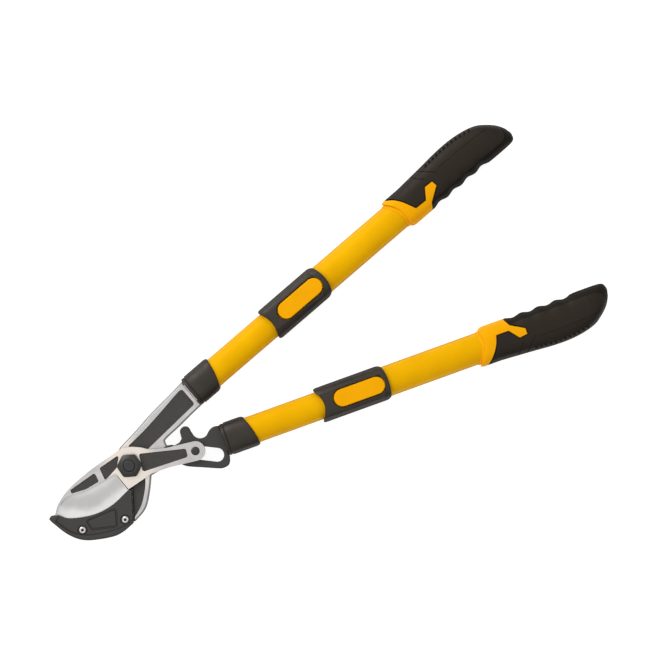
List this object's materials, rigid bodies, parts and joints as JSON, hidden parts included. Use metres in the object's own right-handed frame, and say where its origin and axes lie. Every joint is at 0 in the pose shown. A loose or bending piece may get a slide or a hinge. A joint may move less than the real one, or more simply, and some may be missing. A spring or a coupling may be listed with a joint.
{
  "type": "telescopic anvil lopper",
  "caption": "Long-handled anvil lopper: a blade closes on a broad anvil, driven by a slotted lever, with sliding oval tube handles and button locks.",
  "frame": {"origin": "main pivot axis at the flat back of the rear bolt head, which lies on the floor", "axes": "+X along handle A towards its grip, +Y to the side of the blade's back, +Z along the pivot towards the nut"},
  "size_m": [0.6975, 0.2724, 0.0357],
  "materials": {
    "forged_steel": "satin silver coating with dark recesses",
    "plated_steel": "bright zinc plate",
    "black_casting": "black coated casting, fine texture",
    "black_steel": "black oxide, satin",
    "bronze": "sintered bronze",
    "yellow_tube": "gloss yellow powder coat",
    "yellow_plastic": "satin moulded yellow",
    "black_plastic": "satin moulded black",
    "black_rubber": "soft matt cover"
  },
  "bodies": {
    "root": {"anvil_arm": "forged_steel", "anvil": "black_casting", "anvil_screw_front": "plated_steel", "anvil_screw_rear": "plated_steel", "pivot_bolt": "black_steel", "pivot_nut": "black_steel", "pivot_bush": "bronze", "pivot_rear_washer": "plated_steel", "pivot_front_washer": "plated_steel", "friction_washer": "bronze", "lever_bolt": "plated_steel", "lever_nut": "plated_steel", "lever_washer": "plated_steel", "collar_a": "black_plastic", "inner_tube_a": "yellow_tube", "tang_pin_a": "plated_steel", "tube_plug_a": "black_plastic"},
    "blade": {"blade": "forged_steel", "tail_pin": "black_steel", "slot_roller": "plated_steel", "tail_pin_washer": "plated_steel"},
    "lever": {"lever_plate": "black_casting", "collar_b": "black_plastic", "inner_tube_b": "yellow_tube", "tang_pin_b": "plated_steel", "tube_plug_b": "black_plastic"},
    "slide_a": {"outer_tube_a": "yellow_tube", "lock_sleeve_a": "black_plastic", "grip_core_a": "yellow_plastic", "grip_cover_a": "black_rubber", "button_hinge_pin_a": "plated_steel", "button_spring_a": "plated_steel"},
    "slide_b": {"outer_tube_b": "yellow_tube", "lock_sleeve_b": "black_plastic", "grip_core_b": "yellow_plastic", "grip_cover_b": "black_rubber", "button_hinge_pin_b": "plated_steel", "button_spring_b": "plated_steel"},
    "button_a": {"lock_button_a": "yellow_plastic", "lock_pin_a": "plated_steel"},
    "button_b": {"lock_button_b": "yellow_plastic", "lock_pin_b": "plated_steel"}
  },
  "joints": [
    {"name": "lever_hinge", "type": "hinge", "parent": "root", "child": "lever", "pos_m": [0.0442, -0.0215, 0.0138], "axis": [0, 0, -1], "range_deg": [0, 64]},
    {"name": "blade_hinge", "type": "hinge", "parent": "root", "child": "blade", "pos_m": [0, 0, 0.0188], "axis": [0, 0, -1], "range_deg": [0, 36]},
    {"name": "tube_slide_a", "type": "slide", "parent": "root", "child": "slide_a", "axis": [1, 0, 0], "range_m": [0, 0.26]},
    {"name": "tube_slide_b", "type": "slide", "parent": "lever", "child": "slide_b", "axis": [0.9345, -0.3559, 0], "range_m": [0, 0.26]},
    {"name": "button_a_hinge", "type": "hinge", "parent": "slide_a", "child": "button_a", "pos_m": [0.2757, 0.0178, 0.0312], "axis": [0, 1, 0], "range_deg": [0, 5.5], "stiffness_Nm_per_rad": 2, "springref_deg": -2.86, "deforming": ["button_spring_a"]},
    {"name": "button_b_hinge", "type": "hinge", "parent": "slide_b", "child": "button_b", "pos_m": [0.25751, -0.1082, 0.0312], "axis": [0.3559, 0.9345, 0], "range_deg": [0, 5.5], "stiffness_Nm_per_rad": 2, "springref_deg": -2.86, "deforming": ["button_spring_b"]}
  ],
  "couplings": [
    {"joint": "blade_hinge", "follows": "lever_hinge", "ratio": 0.56}
  ]
}
